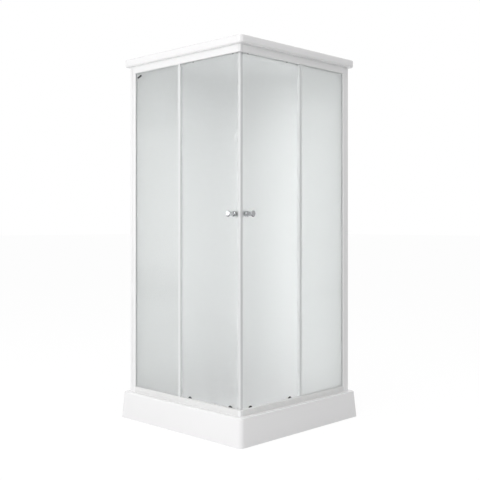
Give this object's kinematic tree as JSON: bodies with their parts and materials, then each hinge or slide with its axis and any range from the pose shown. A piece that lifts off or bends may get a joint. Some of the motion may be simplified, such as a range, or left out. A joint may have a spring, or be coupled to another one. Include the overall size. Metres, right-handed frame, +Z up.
{
  "type": "shower enclosure with sliding doors",
  "caption": "Square corner-entry shower cabin with a tray, a white frame, frosted fixed panes, frosted sliding doors on rollers, chrome knobs and a flat roof.",
  "frame": {"origin": "on the floor, under the centre of the tray", "axes": "+Z up; the glazed sides face -Y and +X and meet at the near corner, towards +X and -Y"},
  "size_m": [0.9, 0.9, 1.9],
  "materials": {
    "tray_acrylic": "glossy white acrylic",
    "zinc_steel": "bright zinc plating",
    "chrome": "polished chrome",
    "trap_plastic": "white polypropylene",
    "frame_white": "white powder coat on aluminium",
    "corner_plastic": "white ABS",
    "frosted_glass": "toughened glass, etched on the inner face",
    "glazing_rubber": "grey glazing rubber",
    "clear_seal": "translucent PVC",
    "roller_grey": "dark grey nylon",
    "stop_rubber": "black rubber",
    "panel_white": "white acrylic sheet",
    "edge_profile_white": "white powder coat on aluminium",
    "magnet_rubber": "magnetic rubber",
    "knob_stud_steel": "stainless stud and clear washers",
    "axle_steel": "turned stainless steel",
    "wheel_nylon": "natural nylon"
  },
  "bodies": {
    "root": {"tray": "tray_acrylic", "roof_cap": "tray_acrylic", "roof_liner": "tray_acrylic", "tray_beams": "zinc_steel", "levelling_feet": "zinc_steel", "post_screws": "zinc_steel", "waste_flange": "chrome", "waste_cover": "chrome", "trap": "trap_plastic", "bottom_rail_left": "frame_white", "bottom_rail_right": "frame_white", "header_left": "frame_white", "header_right": "frame_white", "wall_profile_left": "frame_white", "wall_profile_right": "frame_white", "stile_left": "frame_white", "stile_right": "frame_white", "back_channels": "frame_white", "back_corner": "frame_white", "bottom_corner": "corner_plastic", "top_corner": "corner_plastic", "groove_fillers": "corner_plastic", "fixed_glass_left": "frosted_glass", "fixed_glass_right": "frosted_glass", "glazing_gasket_left": "glazing_rubber", "glazing_gasket_right": "glazing_rubber", "fixed_seal_left": "clear_seal", "fixed_seal_right": "clear_seal", "glass_clip": "roller_grey", "door_stops": "stop_rubber", "back_panel_left": "panel_white", "back_panel_right": "panel_white"},
    "left_door": {"door_glass_left": "frosted_glass", "door_edge_profile_left": "edge_profile_white", "door_magnet_left": "magnet_rubber", "door_rear_seal_left": "clear_seal", "outer_knob_left": "chrome", "inner_knob_left": "chrome", "knob_fixings_left": "knob_stud_steel", "roller_caps_left": "roller_grey", "roller_axles_left": "axle_steel"},
    "right_door": {"door_glass_right": "frosted_glass", "door_edge_profile_right": "edge_profile_white", "door_magnet_right": "magnet_rubber", "door_rear_seal_right": "clear_seal", "outer_knob_right": "chrome", "inner_knob_right": "chrome", "knob_fixings_right": "knob_stud_steel", "roller_caps_right": "roller_grey", "roller_axles_right": "axle_steel"},
    "wheel_top_front_left": {"wheel_top_front_left": "wheel_nylon"},
    "wheel_top_rear_left": {"wheel_top_rear_left": "wheel_nylon"},
    "wheel_bottom_front_left": {"wheel_bottom_front_left": "wheel_nylon"},
    "wheel_bottom_rear_left": {"wheel_bottom_rear_left": "wheel_nylon"},
    "wheel_top_front_right": {"wheel_top_front_right": "wheel_nylon"},
    "wheel_top_rear_right": {"wheel_top_rear_right": "wheel_nylon"},
    "wheel_bottom_front_right": {"wheel_bottom_front_right": "wheel_nylon"},
    "wheel_bottom_rear_right": {"wheel_bottom_rear_right": "wheel_nylon"}
  },
  "joints": [
    {"name": "left_door_slide", "type": "slide", "parent": "root", "child": "left_door", "axis": [-1, 0, 0], "range_m": [0, 0.318]},
    {"name": "right_door_slide", "type": "slide", "parent": "root", "child": "right_door", "axis": [0, 1, 0], "range_m": [0, 0.318]},
    {"name": "wheel_top_front_left_spin", "type": "hinge", "parent": "left_door", "child": "wheel_top_front_left", "pos_m": [0.339, -0.3755, 1.8383], "axis": [0, 1, 0], "range_deg": [-2278, 0]},
    {"name": "wheel_top_rear_left_spin", "type": "hinge", "parent": "left_door", "child": "wheel_top_rear_left", "pos_m": [0.062, -0.3755, 1.8383], "axis": [0, 1, 0], "range_deg": [-2278, 0]},
    {"name": "wheel_bottom_front_left_spin", "type": "hinge", "parent": "left_door", "child": "wheel_bottom_front_left", "pos_m": [0.323, -0.3755, 0.1583], "axis": [0, 1, 0], "range_deg": [-2278, 0]},
    {"name": "wheel_bottom_rear_left_spin", "type": "hinge", "parent": "left_door", "child": "wheel_bottom_rear_left", "pos_m": [0.04, -0.3755, 0.1583], "axis": [0, 1, 0], "range_deg": [-2278, 0]},
    {"name": "wheel_top_front_right_spin", "type": "hinge", "parent": "right_door", "child": "wheel_top_front_right", "pos_m": [0.3755, -0.339, 1.8383], "axis": [1, 0, 0], "range_deg": [-2278, 0]},
    {"name": "wheel_top_rear_right_spin", "type": "hinge", "parent": "right_door", "child": "wheel_top_rear_right", "pos_m": [0.3755, -0.062, 1.8383], "axis": [1, 0, 0], "range_deg": [-2278, 0]},
    {"name": "wheel_bottom_front_right_spin", "type": "hinge", "parent": "right_door", "child": "wheel_bottom_front_right", "pos_m": [0.3755, -0.323, 0.1583], "axis": [1, 0, 0], "range_deg": [-2278, 0]},
    {"name": "wheel_bottom_rear_right_spin", "type": "hinge", "parent": "right_door", "child": "wheel_bottom_rear_right", "pos_m": [0.3755, -0.04, 0.1583], "axis": [1, 0, 0], "range_deg": [-2278, 0]}
  ],
  "couplings": [
    {"joint": "wheel_top_front_left_spin", "follows": "left_door_slide", "rad_per_m": -125},
    {"joint": "wheel_top_rear_left_spin", "follows": "left_door_slide", "rad_per_m": -125},
    {"joint": "wheel_bottom_front_left_spin", "follows": "left_door_slide", "rad_per_m": -125},
    {"joint": "wheel_bottom_rear_left_spin", "follows": "left_door_slide", "rad_per_m": -125},
    {"joint": "wheel_top_front_right_spin", "follows": "right_door_slide", "rad_per_m": -125},
    {"joint": "wheel_top_rear_right_spin", "follows": "right_door_slide", "rad_per_m": -125},
    {"joint": "wheel_bottom_front_right_spin", "follows": "right_door_slide", "rad_per_m": -125},
    {"joint": "wheel_bottom_rear_right_spin", "follows": "right_door_slide", "rad_per_m": -125}
  ]
}
